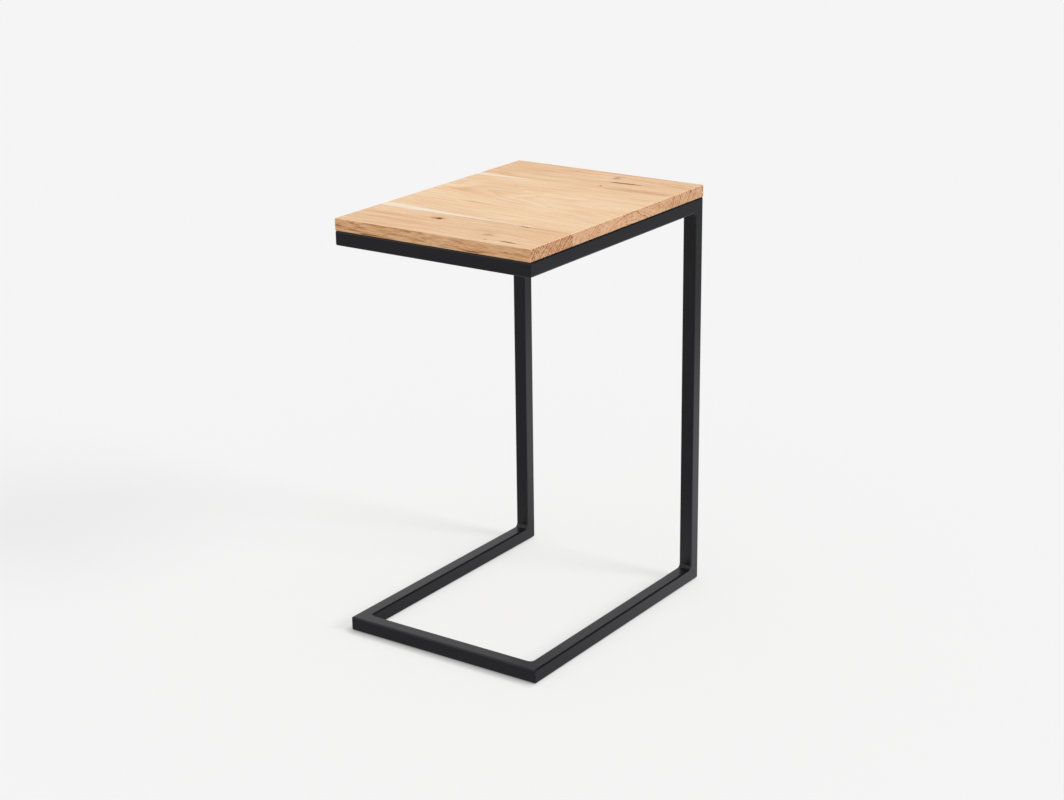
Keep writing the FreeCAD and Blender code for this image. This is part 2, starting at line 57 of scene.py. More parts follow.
# Node graphs
class Graph:
    """The nodes of a material or world, added one call at a time; a call gives back an output socket."""

    def __init__(self, owner):
        owner.use_nodes = True
        self.owner = owner
        self.tree = owner.node_tree
        self.tree.nodes.clear()

    def node(self, kind, **settings):
        made = self.tree.nodes.new(kind)
        for key, value in settings.items():
            setattr(made, key, value)
        return made

    def feed(self, socket, value):
        """Links a socket to another one, or sets it to a constant."""
        if isinstance(value, bpy.types.NodeSocket):
            self.tree.links.new(value, socket)
        else:
            socket.default_value = value

    def shader(self, kind, **inputs):
        """A shader node; underscores stand for the spaces in the names of its inputs."""
        made = self.node(kind)
        for key, value in inputs.items():
            self.feed(made.inputs[key.replace("_", " ")], value)
        return made.outputs[0]

    def end(self, kind, surface):
        """Adds the output node and gives back the finished material or world."""
        self.feed(self.node(kind).inputs["Surface"], surface)
        return self.owner

    def math(self, operation, *values):
        made = self.node("ShaderNodeMath", operation=operation)
        for socket, value in zip(made.inputs, values):
            self.feed(socket, value)
        return made.outputs[0]

    def add(self, first, *others):
        for other in others:
            first = self.math("ADD", first, other)
        return first

    def subtract(self, first, second):
        return self.math("SUBTRACT", first, second)

    def multiply(self, first, *others):
        for other in others:
            first = self.math("MULTIPLY", first, other)
        return first

    def around_zero(self, value, reach):
        """Turns a value that goes from 0 to 1 into one that goes from -reach/2 to reach/2."""
        return self.multiply(self.subtract(value, 0.5), reach)

    def vector(self, operation, first, second):
        made = self.node("ShaderNodeVectorMath", operation=operation)
        self.feed(made.inputs[0], first)
        self.feed(made.inputs[1], second)
        return made.outputs[0]

    def measure(self, operation, first, second):
        """A number from two vectors, such as their distance or dot product."""
        made = self.node("ShaderNodeVectorMath", operation=operation)
        self.feed(made.inputs[0], first)
        self.feed(made.inputs[1], second)
        return made.outputs["Value"]

    def split(self, vector):
        made = self.node("ShaderNodeSeparateXYZ")
        self.feed(made.inputs[0], vector)
        return made.outputs[0], made.outputs[1], made.outputs[2]

    def join(self, x, y, z):
        made = self.node("ShaderNodeCombineXYZ")
        for socket, value in zip(made.inputs, (x, y, z)):
            self.feed(socket, value)
        return made.outputs[0]

    def place_mm(self):
        """The point on the object in millimetres."""
        coordinates = self.node("ShaderNodeTexCoord")
        return self.vector("MULTIPLY", coordinates.outputs["Object"], (1 / MM, 1 / MM, 1 / MM))

    def noise(self, vector, stretch=(1, 1, 1), detail=2.0, roughness=0.5, colour=False):
        """Noise whose features are about 1/stretch across along each axis."""
        made = self.node("ShaderNodeTexNoise")
        self.feed(made.inputs["Vector"], self.vector("MULTIPLY", vector, stretch))
        made.inputs["Scale"].default_value = 1.0
        made.inputs["Detail"].default_value = detail
        made.inputs["Roughness"].default_value = roughness
        return made.outputs["Color" if colour else "Fac"]

    def random(self, value):
        made = self.node("ShaderNodeTexWhiteNoise", noise_dimensions="1D")
        self.feed(made.inputs["W"], value)
        return made.outputs["Value"]

    def remap(self, value, low, high, to_low=0.0, to_high=1.0):
        """A smooth step from to_low to to_high as the value goes from low to high."""
        made = self.node("ShaderNodeMapRange", interpolation_type="SMOOTHSTEP")
        for socket, number in zip(made.inputs, (value, low, high, to_low, to_high)):
            self.feed(socket, number)
        return made.outputs[0]

    def ramp(self, value, stops):
        made = self.node("ShaderNodeValToRGB")
        elements = made.color_ramp.elements
        for extra in range(len(stops) - len(elements)):
            elements.new(0.5)
        for element, (position, colour) in zip(elements, stops):
            element.position = position
            element.color = (*colour, 1.0)
        self.feed(made.inputs["Fac"], value)
        return made.outputs["Color"]

    def between(self, factor, first, second):
        """A number that goes from the first to the second as the factor goes from 0 to 1."""
        made = self.node("ShaderNodeMix")
        for socket, value in zip((made.inputs[0], made.inputs[2], made.inputs[3]), (factor, first, second)):
            self.feed(socket, value)
        return made.outputs[0]

    def blend(self, factor, first, second, mode="MIX"):
        """A colour that goes from the first to the second as the factor goes from 0 to 1."""
        made = self.node("ShaderNodeMix", data_type="RGBA", blend_type=mode)
        self.feed(made.inputs["Factor"], factor)
        colours = [socket for socket in made.inputs if socket.type == "RGBA"]
        for socket, value in zip(colours, (first, second)):
            self.feed(socket, value if isinstance(value, bpy.types.NodeSocket) else (*value, 1.0))
        return next(socket for socket in made.outputs if socket.type == "RGBA")

    def tinted(self, share, colour, tint):
        """A colour that is multiplied by a tint over a share of the surface."""
        return self.blend(share, colour, self.blend(1.0, colour, tint, "MULTIPLY"))

    def bump(self, height, strength, distance):
        made = self.node("ShaderNodeBump")
        made.inputs["Strength"].default_value = strength
        made.inputs["Distance"].default_value = distance
        self.feed(made.inputs["Height"], height)
        return made.outputs["Normal"]

    def facing(self, axis):
        """How far the surface faces along an axis of the table, either way: 0 to 1."""
        geometry = self.node("ShaderNodeNewGeometry")
        part = self.split(geometry.outputs["Normal"])["xyz".index(axis)]
        return self.math("ABSOLUTE", part)


# Colours of the wood
WOOD_TONES = [
    (0.00, (0.965, 0.732, 0.488)),
    (0.35, (0.865, 0.584, 0.356)),
    (0.70, (0.665, 0.378, 0.189)),
    (1.00, (0.370, 0.170, 0.078)),
]
SAPWOOD = (0.965, 0.850, 0.695)
KNOT_CORE = (0.085, 0.016, 0.007)
KNOT_BROWN = (0.290, 0.062, 0.012)
KNOT_HALO = (0.520, 0.185, 0.058)
# Brown of the cracks: partly the wood's own stain, partly painted shade in the cracks
CRACK_BROWN = (0.270, 0.066, 0.010)
ROSE_TINT = (1.00, 0.955, 0.925)
# Ends and edges of the boards are tinted darker: partly the grain's own colour, partly painted shade set
# for how much light falls on each side
END_GRAIN_AND_SHADE_TINT = (0.622, 0.530, 0.482)
EDGE_GRAIN_AND_SHADE_TINT = (0.943, 0.791, 0.645)

# How fine each kind of grain is: features in a millimetre along X, Y and Z
WANDER_GRAIN = (0.005, 0.012, 0.012)
UNEVEN_GRAIN = (0.012, 0.07, 0.07)
STREAK_GRAIN = (0.005, 0.11, 0.11)
LINE_GRAIN = (0.018, 0.52, 0.52)
FIBRE_GRAIN = (0.035, 1.5, 1.5)
PORE_GRAIN = (0.10, 2.8, 2.8)
FLECK_GRAIN = (0.08, 0.85, 0.85)
MOTTLE_GRAIN = (0.02, 0.20, 0.26)
RAGGED_GRAIN = (0.09, 0.4, 0.4)
ROSE_GRAIN = (0.008, 0.03, 0.03)
KNOT_GRAIN = (0.15, 0.22, 0.10)
BAND_GRAIN_ALONG = 0.006
BAND_GRAIN_ACROSS = 0.25
RAYS_PER_RADIAN = 260.0
RAY_GRAIN_OUTWARD = 0.06
RAY_GRAIN_ALONG = 0.3

# Rings: how far they wander in millimetres, and where in a ring, from 0 to 1, dark wood and pores lie
RING_WANDER_Y = 20.0
RING_WANDER_Z = 24.0
RING_UNEVENNESS = 1.4
LATE_WOOD_START = (0.30, 0.85)
LATE_WOOD_END = (0.92, 1.0)
LATE_WOOD_MEAN = 0.25
FAINTEST_RING = 0.3
RING_SPREAD = 0.7
PORE_PART = (0.5, 0.05)
PORE_LEVELS = (0.60, 0.74)
SWIRL_SPREAD = 0.8

# How much each kind of grain changes the tone
WANDER_TONE = 0.30
FIBRE_TONE = 0.45
FLECK_TONE = 1.0
PORE_TONE = 0.26
RAY_TONE = 1.20
MOTTLE_TONE = 1.30
EDGE_TONE = 0.060

# How strong a kind of grain is on the face, and how much edges and ends add to that
STREAK_CONTRAST = (1.0, -0.45, 0.0)
LINE_CONTRAST = (1.0, 0.9, 1.2)
FIBRE_CONTRAST = (1.0, 3.5, 2.0)
FLECK_CONTRAST = (0.0, 1.10, 1.00)
RING_CONTRAST = (0.18, 0.50, 0.52)
SIDE_FACING = (0.5, 0.9)

# Marks: where their rims fade, as shares of their size, and how far lines of the grain break them up
RAGGEDNESS = 3.0
PATCH_RIM = (1.0, 0.2)
DARK_LINE_LEVELS = (0.36, 0.60)
DARK_LINE_SHARES = (0.55, 1.25)
PALE_LINE_LEVELS = (0.62, 0.42)
PALE_LINE_SHARES = (0.60, 1.0)
ROSE_LEVELS = (0.40, 0.62)
SAPWOOD_RIM = (1.0, 0.5)
SAPWOOD_END_SHARE = 0.5
SAPWOOD_LEAN = 0.6
UPPER_FACE = 585.0
KNOT_JITTER = 13.0
KNOT_RINGS = 16.0
KNOT_RING_JITTER = 0.8
KNOT_RING_MEAN = 0.78
KNOT_RING_DEPTH = 0.22
KNOT_HALO_RIM = (2.3, 0.6)
KNOT_HALO_SHARE = 0.60
KNOT_BODY_RIM = (1.15, 0.45)
KNOT_CORE_RIM = (0.8, 0.2)
# Brown along the cracks and near the upper face: partly stained wood, partly painted shade in the cracks
CRACK_DARK_BOTTOM = (576.0, 580.0)
CRACK_DARK_WIDTH_SHARE = 0.85
CRACK_DARK_HALO_RIM = (2.4, 0.8)
CRACK_DARK_HALO_SHARE = 0.30
CRACK_DARK_RIM = (1.1, 0.6)
CRACK_DARK_SHARE = 0.95

# Surface of the wood
WOOD_ROUGHNESS = 0.50
WOOD_ROUGHNESS_SPREAD = 0.16
WOOD_SPECULAR = 0.3
WOOD_FIBRE_HEIGHT = 0.5
WOOD_BUMP = 0.25
WOOD_RELIEF = 0.12 * MM

# Boards, with the places and sizes of their marks in millimetres, seen from above.
# Knots are x, y, half length, half width, depth; swirls x, y, half length, half width;
# cracks x and y of both ends, width; patches and sapwood x, y, half length, half width, slope, depth
BOARDS = {
    "front_board": {
        "shift": (410.0, 137.0, 53.0),
        "pith": (0.0, 430.0),
        "drift": (0.02, 0.03),
        "ring_width": 4.6,
        "tone": 0.365,
        "end_tone": 0.255,
        "streaks": 0.80,
        "lines": 0.70,
        "bands": 0.45,
        "knots": [
            (-38.5, -138.0, 6.2, 5.2, 1.0),
            (67.0, -175.0, 6.5, 4.2, 0.37),
            (84.0, -117.5, 5.6, 2.6, 0.8),
            (77.5, -196.0, 2.5, 2.0, 0.4),
        ],
        "swirls": [(67.0, -172.0, 48.0, 20.0), (-39.0, -137.5, 30.0, 10.0)],
        "cracks": [(96.0, -193.0, 123.0, -194.0, 2.3)],
        "patches": [
            (20.0, -161.0, 80.0, 3.0, 0.03, 0.14),
            (100.0, -160.0, 60.0, 3.0, -0.05, 0.10),
            (-46.0, -137.5, 11.0, 2.4, 0.0, 0.45),
            (30.0, -116.4, 185.0, 1.6, 0.0, 0.40),
        ],
        "sapwood": [],
    },
    "middle_board": {
        "shift": (820.0, 274.0, 106.0),
        "pith": (22.0, 470.0),
        "drift": (0.02, -0.06),
        "ring_width": 4.0,
        "tone": 0.215,
        "end_tone": 0.075,
        "streaks": 0.70,
        "lines": 0.80,
        "bands": 0.75,
        "knots": [],
        "swirls": [],
        "cracks": [],
        "patches": [(-50.0, -40.0, 62.0, 3.0, -0.07, 0.24), (96.0, -8.0, 55.0, 3.0, -0.07, 0.16)],
        "sapwood": [
            (-154.0, -112.0, 280.0, 16.0, -0.03, 0.92),
            (-154.0, 107.0, 104.0, 7.0, 0.065, 0.95),
            (84.0, -112.6, 9.0, 3.2, 0.0, 0.80),
            (154.0, -113.0, 5.0, 7.0, 0.0, 0.45),
        ],
    },
    "rear_board": {
        "shift": (1230.0, 411.0, 159.0),
        "pith": (330.0, 440.0),
        "drift": (-0.02, 0.03),
        "ring_width": 4.3,
        "tone": 0.365,
        "end_tone": 0.045,
        "streaks": 0.80,
        "lines": 0.75,
        "bands": 0.45,
        "knots": [(32.0, 182.0, 6.2, 6.8, 0.46), (37.0, 129.0, 2.2, 2.4, 0.6)],
        "swirls": [(32.5, 182.0, 40.0, 14.0)],
        "cracks": [(30.0, 155.8, 91.0, 160.7, 3.0)],
        "patches": [
            (104.0, 126.0, 78.0, 13.0, 0.05, 0.34),
            (-122.0, 131.0, 18.0, 6.0, 0.0, 0.14),
            (154.0, 208.0, 9.0, 6.0, 0.0, 0.30),
        ],
        "sapwood": [],
    },
}


def ellipse(graph, x, y, centre, radii, slope=0.0):
    """Distance from the middle of an ellipse that lies along X, where its rim is at 1."""
    along = graph.subtract(x, centre[0])
    across = graph.subtract(graph.subtract(y, centre[1]), graph.multiply(along, slope))
    along = graph.math("DIVIDE", along, radii[0])
    across = graph.math("DIVIDE", across, radii[1])
    return graph.math("SQRT", graph.add(graph.multiply(along, along), graph.multiply(across, across)))


def grain_around(graph, x, y, swirl):
    """Y as the grain sees it, spread apart where it flows around a knot."""
    distance = ellipse(graph, x, y, swirl[:2], swirl[2:])
    near = graph.math("EXPONENT", graph.multiply(distance, distance, -1.0))
    return graph.subtract(y, graph.multiply(graph.subtract(y, swirl[1]), near, SWIRL_SPREAD))


def add_sapwood(graph, colour, streaks, x, y, share):
    """Pale streaks over a colour."""
    for *centre, length, width, slope, depth in streaks:
        distance = ellipse(graph, x, y, centre, (length, width), slope)
        pale = graph.multiply(graph.remap(distance, *SAPWOOD_RIM, 0.0, depth), share)
        colour = graph.blend(pale, colour, SAPWOOD)
    return colour


def add_knots(graph, colour, knots, x, y, grain):
    """Knots over a colour, each with a halo, a ringed body and a dark core."""
    jitter = graph.noise(grain, KNOT_GRAIN, detail=3.0, colour=True)
    jitter_x, jitter_y, jitter_ring = graph.split(jitter)
    knot_x = graph.add(x, graph.around_zero(jitter_x, KNOT_JITTER))
    knot_y = graph.add(y, graph.around_zero(jitter_y, KNOT_JITTER))
    for *centre, length, width, depth in knots:
        distance = ellipse(graph, knot_x, knot_y, centre, (length, width))
        ring_place = graph.add(distance, graph.around_zero(jitter_ring, KNOT_RING_JITTER))
        rings = graph.math("SINE", graph.multiply(ring_place, KNOT_RINGS))
        rings = graph.add(KNOT_RING_MEAN, graph.multiply(rings, KNOT_RING_DEPTH))
        halo = graph.remap(distance, *KNOT_HALO_RIM, 0.0, KNOT_HALO_SHARE * depth)
        body = graph.multiply(graph.remap(distance, *KNOT_BODY_RIM, 0.0, depth), rings)
        core = graph.remap(distance, *KNOT_CORE_RIM, 0.0, depth * depth)
        colour = graph.blend(halo, colour, KNOT_HALO)
        colour = graph.blend(body, colour, KNOT_BROWN)
        colour = graph.blend(core, colour, KNOT_CORE)
    return colour


def add_crack_stains_and_shade(graph, colour, cracks, x, y, z):
    """Brown over a colour along the cracks and near the upper face: partly the wood's own stain, partly
    painted shade in the cracks.
    """
    upper = graph.remap(z, *CRACK_DARK_BOTTOM)
    for start_x, start_y, end_x, end_y, width in cracks:
        centre = ((start_x + end_x) / 2, (start_y + end_y) / 2)
        slope = (end_y - start_y) / (end_x - start_x)
        radii = ((end_x - start_x) / 2, CRACK_DARK_WIDTH_SHARE * width)
        distance = ellipse(graph, x, y, centre, radii, slope)
        halo = graph.remap(distance, *CRACK_DARK_HALO_RIM, 0.0, CRACK_DARK_HALO_SHARE)
        crack_dark = graph.remap(distance, *CRACK_DARK_RIM, 0.0, CRACK_DARK_SHARE)
        colour = graph.blend(graph.multiply(halo, upper), colour, KNOT_HALO)
        colour = graph.blend(graph.multiply(crack_dark, upper), colour, CRACK_BROWN)
    return colour


def oak(name, board):
    """Solid wood as rings about a pith that runs along X, so that faces, edges and ends agree."""
    graph = Graph(bpy.data.materials.new(name))
    place = graph.place_mm()
    grain = graph.vector("ADD", place, board["shift"])
    x, y, z = graph.split(place)

    # Rings, which wander slowly and flow around the knots
    wander_y, wander_z, wander_tone = graph.split(graph.noise(grain, WANDER_GRAIN, colour=True))
    flow = y
    for swirl in board["swirls"]:
        flow = grain_around(graph, x, flow, swirl)
    flow = graph.add(flow, graph.around_zero(wander_y, RING_WANDER_Y))
    across = graph.add(graph.subtract(flow, board["pith"][0]), graph.multiply(x, board["drift"][0]))
    up = graph.add(graph.subtract(z, board["pith"][1]), graph.multiply(x, board["drift"][1]))
    up = graph.add(up, graph.around_zero(wander_z, RING_WANDER_Z))
    radius = graph.math("SQRT", graph.add(graph.multiply(across, across), graph.multiply(up, up)))
    uneven = graph.multiply(graph.noise(grain, UNEVEN_GRAIN, detail=3.0), RING_UNEVENNESS)
    phase = graph.add(graph.math("DIVIDE", radius, board["ring_width"]), uneven)
    ring = graph.math("FRACT", phase)
    ring_random = graph.random(graph.math("FLOOR", phase))
    ring_strength = graph.add(FAINTEST_RING, graph.multiply(ring_random, RING_SPREAD))
    late_wood = graph.subtract(graph.remap(ring, *LATE_WOOD_START), graph.remap(ring, *LATE_WOOD_END))
    late_wood = graph.multiply(late_wood, ring_strength)

    # Streaks, fibres and pores along the grain, bands along the rings, and rays out from the pith
    fibre_place = graph.vector("ADD", graph.join(x, flow, z), board["shift"])
    streaks = graph.noise(fibre_place, STREAK_GRAIN, detail=5.0, roughness=0.68)
    lines = graph.noise(fibre_place, LINE_GRAIN, detail=3.0, roughness=0.6)
    fibres = graph.noise(fibre_place, FIBRE_GRAIN, detail=3.0, roughness=0.65)
    dashes = graph.noise(fibre_place, PORE_GRAIN, detail=1.0)
    flecks = graph.noise(fibre_place, FLECK_GRAIN, detail=2.0, roughness=0.6)
    mottle = graph.noise(fibre_place, MOTTLE_GRAIN, detail=3.0, roughness=0.6)
    pores = graph.multiply(graph.remap(dashes, *PORE_LEVELS), graph.remap(ring, *PORE_PART))
    band_along = graph.multiply(x, BAND_GRAIN_ALONG)
    band_across = graph.multiply(phase, BAND_GRAIN_ACROSS * board["ring_width"])
    bands = graph.noise(graph.join(band_along, band_across, 0.0), detail=4.0, roughness=0.65)
    ray_turn = graph.multiply(graph.math("ARCTAN2", across, up), RAYS_PER_RADIAN)
    ray_place = graph.join(ray_turn, graph.multiply(radius, RAY_GRAIN_OUTWARD), x)
    rays = graph.noise(ray_place, (1, 1, RAY_GRAIN_ALONG))

    # Tone from light to dark, with more contrast on edges and ends than on the face
    ends = graph.remap(graph.facing("x"), *SIDE_FACING)
    edges = graph.remap(graph.facing("y"), *SIDE_FACING)

    def by_side(on_face, edges_add, ends_add):
        return graph.add(on_face, graph.multiply(edges, edges_add), graph.multiply(ends, ends_add))

    def grained(value, tone_reach, contrast):
        return graph.multiply(graph.around_zero(value, tone_reach), by_side(*contrast))

    tone = graph.add(
        by_side(board["tone"], EDGE_TONE, board["end_tone"]),
        graph.around_zero(wander_tone, WANDER_TONE),
        grained(streaks, board["streaks"], STREAK_CONTRAST),
        grained(lines, board["lines"], LINE_CONTRAST),
        graph.around_zero(bands, board["bands"]),
        graph.multiply(graph.subtract(late_wood, LATE_WOOD_MEAN), by_side(*RING_CONTRAST)),
        grained(fibres, FIBRE_TONE, FIBRE_CONTRAST),
        grained(flecks, FLECK_TONE, FLECK_CONTRAST),
        graph.multiply(pores, PORE_TONE),
        graph.multiply(graph.around_zero(rays, RAY_TONE), ends),
        graph.multiply(graph.around_zero(mottle, MOTTLE_TONE), ends),
    )
    wobble = graph.around_zero(graph.noise(grain, RAGGED_GRAIN, detail=3.0), RAGGEDNESS)
    ragged = graph.add(y, wobble)
    dark_lines = graph.remap(lines, *DARK_LINE_LEVELS, *DARK_LINE_SHARES)
    for *centre, length, width, slope, depth in board["patches"]:
        distance = ellipse(graph, x, ragged, centre, (length, width), slope)
        patch = graph.multiply(graph.remap(distance, *PATCH_RIM, 0.0, depth), dark_lines)
        tone = graph.add(tone, patch)

    # Colour, with sapwood that leans as it goes down, knots, and cracks browned partly by stain and partly
    # by painted shade
    colour = graph.ramp(tone, WOOD_TONES)
    rose = graph.remap(graph.noise(grain, ROSE_GRAIN), *ROSE_LEVELS)
    colour = graph.tinted(rose, colour, ROSE_TINT)
    below = graph.subtract(UPPER_FACE, z)
    leaning = graph.add(ragged, graph.multiply(below, SAPWOOD_LEAN))
    pale_lines = graph.remap(lines, *PALE_LINE_LEVELS, *PALE_LINE_SHARES)
    pale_share = graph.multiply(pale_lines, graph.between(ends, 1.0, SAPWOOD_END_SHARE))
    colour = add_sapwood(graph, colour, board["sapwood"], x, leaning, pale_share)
    colour = add_knots(graph, colour, board["knots"], x, y, grain)
    colour = add_crack_stains_and_shade(graph, colour, board["cracks"], x, ragged, z)
    # Ends and edges tinted darker: partly the grain's own colour, partly painted shade
    colour = graph.tinted(ends, colour, END_GRAIN_AND_SHADE_TINT)
    colour = graph.tinted(edges, colour, EDGE_GRAIN_AND_SHADE_TINT)

    height = graph.subtract(graph.multiply(fibres, WOOD_FIBRE_HEIGHT), pores)
    surface = graph.shader(
        "ShaderNodeBsdfPrincipled",
        Base_Color=colour,
        Roughness=graph.add(WOOD_ROUGHNESS, graph.multiply(fibres, WOOD_ROUGHNESS_SPREAD)),
        Specular_IOR_Level=WOOD_SPECULAR,
        Normal=graph.bump(height, WOOD_BUMP, WOOD_RELIEF),
    )
    return graph.end("ShaderNodeOutputMaterial", surface)


# Black coat of the frame
COAT_BLACK = [(0.3, (0.0032, 0.0034, 0.0054)), (0.7, (0.0050, 0.0053, 0.0084))]
# Light grey of the specks on the mitre corners: partly rubbed-through coat, partly painted highlight
COAT_WORN_GLINT = (0.110, 0.107, 0.104)
COAT_PEEL_GRAIN = (0.8, 0.8, 0.8)
COAT_GRIT_GRAIN = (4.0, 4.0, 4.0)
COAT_CLOUD_GRAIN = (0.02, 0.02, 0.02)
COAT_SPECK_GRAIN = (0.7, 0.7, 0.7)
COAT_SPECK_LEVELS = (0.54, 0.62)
COAT_WORN_GLINT_HEIGHT = (32.0, 20.0)
COAT_WORN_GLINT_CORNER = (0.5, 1.0)
COAT_ROUGHNESS = 0.26
COAT_ROUGHNESS_SPREAD = 0.12
COAT_GRIT_HEIGHT = 0.3
COAT_BUMP = 0.2
COAT_RELIEF = 0.1 * MM
CORNER_WEAR_AND_GLINT = "corner_wear_and_glint"

# Zinc of the screws and washers
ZINC_GREY = [(0.3, (0.46, 0.46, 0.47)), (0.7, (0.62, 0.61, 0.59))]
ZINC_CLOUD_GRAIN = (0.6, 0.6, 0.6)
ZINC_SCRATCH_GRAIN = (0.4, 6.0, 0.4)
ZINC_ROUGHNESS = 0.26
ZINC_ROUGHNESS_SPREAD = 0.2
ZINC_BUMP = 0.1
ZINC_RELIEF = 0.05 * MM

# Plastic of the glides
PLASTIC_BLACK = [(0.3, (0.018, 0.018, 0.018)), (0.7, (0.026, 0.026, 0.027))]
PLASTIC_GRAIN = (3.0, 3.0, 3.0)
PLASTIC_ROUGHNESS = 0.5
PLASTIC_ROUGHNESS_SPREAD = 0.15
PLASTIC_BUMP = 0.2
PLASTIC_RELIEF = 0.05 * MM


def powder_coat():
    """Satin black with a fine orange peel, and lighter specks on the ground mitre corners near the floor:
    partly rubbed-through coat, partly painted highlight.
    """
    graph = Graph(bpy.data.materials.new("satin_black_powder_coat"))
    place = graph.place_mm()
    peel = graph.noise(place, COAT_PEEL_GRAIN)
    grit = graph.noise(place, COAT_GRIT_GRAIN, detail=1.0)
    cloud = graph.noise(place, COAT_CLOUD_GRAIN, detail=3.0)
    black = graph.ramp(graph.add(graph.multiply(grit, 0.5), graph.multiply(cloud, 0.5)), COAT_BLACK)
    # Lighter specks on the ground mitre corners near the floor: partly rubbed-through coat, partly painted
    # highlight
    corner = graph.node("ShaderNodeAttribute", attribute_name=CORNER_WEAR_AND_GLINT).outputs["Fac"]
    near_floor = graph.remap(graph.split(place)[2], *COAT_WORN_GLINT_HEIGHT)
    specks = graph.remap(graph.noise(place, COAT_SPECK_GRAIN), *COAT_SPECK_LEVELS)
    specks = graph.multiply(specks, graph.remap(corner, *COAT_WORN_GLINT_CORNER), near_floor)
    height = graph.add(peel, graph.multiply(grit, COAT_GRIT_HEIGHT))
    surface = graph.shader(
        "ShaderNodeBsdfPrincipled",
        Base_Color=graph.blend(specks, black, COAT_WORN_GLINT),
        Roughness=graph.add(COAT_ROUGHNESS, graph.multiply(cloud, COAT_ROUGHNESS_SPREAD)),
        Normal=graph.bump(height, COAT_BUMP, COAT_RELIEF),
    )
    return graph.end("ShaderNodeOutputMaterial", surface)


def zinc_steel():
    """Cloudy grey metal with fine scratches."""
    graph = Graph(bpy.data.materials.new("zinc_plated_steel"))
    place = graph.place_mm()
    cloud = graph.noise(place, ZINC_CLOUD_GRAIN, detail=3.0)
    scratch = graph.noise(place, ZINC_SCRATCH_GRAIN)
    surface = graph.shader(
        "ShaderNodeBsdfPrincipled",
        Base_Color=graph.ramp(cloud, ZINC_GREY),
        Metallic=1.0,
        Roughness=graph.add(ZINC_ROUGHNESS, graph.multiply(scratch, ZINC_ROUGHNESS_SPREAD)),
        Normal=graph.bump(scratch, ZINC_BUMP, ZINC_RELIEF),
    )
    return graph.end("ShaderNodeOutputMaterial", surface)


def moulded_plastic():
    """Dull black with a fine moulded texture."""
    graph = Graph(bpy.data.materials.new("moulded_black_plastic"))
    texture = graph.noise(graph.place_mm(), PLASTIC_GRAIN)
    surface = graph.shader(
        "ShaderNodeBsdfPrincipled",
        Base_Color=graph.ramp(texture, PLASTIC_BLACK),
        Roughness=graph.add(PLASTIC_ROUGHNESS, graph.multiply(texture, PLASTIC_ROUGHNESS_SPREAD)),
        Normal=graph.bump(texture, PLASTIC_BUMP, PLASTIC_RELIEF),
    )
    return graph.end("ShaderNodeOutputMaterial", surface)


# Model nodes, and pieces that stand for them
SHARP_ANGLE = math.radians(28)
MERGE_DISTANCE = 0.001 * MM


def dress(node, material):
    """Gives a model node a better material in every slot."""
    for material_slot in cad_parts[node].material_slots:
        material_slot.material = material


def node_form(node):
    """A mesh in the making with a node's own shape, its faces joined up."""
    form = bmesh.new()
    form.from_mesh(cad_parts[node].data)
    bmesh.ops.remove_doubles(form, verts=form.verts, dist=MERGE_DISTANCE)
    return form


def make_object(name, form):
    """Turns a mesh in the making into an object of the scene."""
    bmesh.ops.recalc_face_normals(form, faces=form.faces)
    mesh = bpy.data.meshes.new(name)
    form.to_mesh(mesh)
    form.free()
    made = bpy.data.objects.new(name, mesh)
    bpy.context.scene.collection.objects.link(made)
    return made


def make_piece(name, form, material, node):
    """Turns a mesh in the making into a piece that rides on the table and stands for a node."""
    piece = make_object(name, form)
    piece.data.materials.append(material)
    for face in piece.data.polygons:
        face.use_smooth = True
    piece.data.set_sharp_from_angle(angle=SHARP_ANGLE)
    normals = piece.modifiers.new("flat_faces_stay_flat", "WEIGHTED_NORMAL")
    normals.keep_sharp = True
    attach(piece, "root")
    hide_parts(node)


def make_cleaned_copy(node, material):
    """The node's own shape without the slivers that meshing leaves at pointed tips."""
    make_piece(f"{node}_set", node_form(node), material, node)


def skin(form, columns):
    """Faces between neighbouring columns of points, going round."""
    for column, following in zip(columns, columns[1:] + columns[:1]):
        for i in range(len(column) - 1):
            form.faces.new((column[i], column[i + 1], following[i + 1], following[i]))


def skin_sections(form, sections):
    """A closed skin over a row of outlines that have the same number of points."""
    skin(form, [list(column) for column in zip(*sections)])
    form.faces.new(sections[0])
    form.faces.new(sections[-1])


# Square tubes, mitred, with the outside of each mitre ground a little round
TUBE_CORNER = 2.5 * MM
TUBE_WALL = 1.5 * MM
BORE_CORNER = 1.0 * MM
MITRE_ROUNDING = 1.5 * MM
HEEL_ROUNDING = 3.0 * MM
SHOULDER_ROUNDING = 2.5 * MM
MITRE_REACH = 24.0 * MM
ARC_STEPS = 6
MITRE_STEPS = 6
HALF_WAY = math.sqrt(0.5)


def rounded_square(side, corner):
    """Points of a rounded square about the origin, anticlockwise."""
    half = side / 2 - corner
    points = []
    for quarter, (right, up) in enumerate(((1, 1), (-1, 1), (-1, -1), (1, -1))):
        for step in range(ARC_STEPS + 1):
            turn = math.pi / 2 * (quarter + step / ARC_STEPS)
            points.append((right * half + corner * math.cos(turn), up * half + corner * math.sin(turn)))
    return points


def tube_end(offset, inner, side, full_rounding):
    """Distance from the tube's end, place across it and share of light specks of the points on one line of
    its skin; the specks are partly rubbed coat, partly painted highlight.
    """
    if inner is None:
        return [(0.0, offset, 0.0)]
    inward = direction(inner)
    depth = offset.dot(inward) + side / 2
    rounding = max(full_rounding - depth, 0.0)
    start = depth + rounding * (1 - HALF_WAY)
    passed = []
    for step in range(MITRE_STEPS + 1):
        turn = math.pi / 4 * (1 - step / MITRE_STEPS)
        along = start + full_rounding * (HALF_WAY - math.sin(turn))
        short = max(depth + rounding - along, 0.0)
        rounded = rounding - math.sqrt(max(rounding ** 2 - short ** 2, 0.0))
        wear_and_glint = rounding / full_rounding * (1 - step / MITRE_STEPS)
        passed.append((along, offset + inward * rounded, wear_and_glint))
    passed.append((MITRE_REACH, offset, 0.0))
    return passed


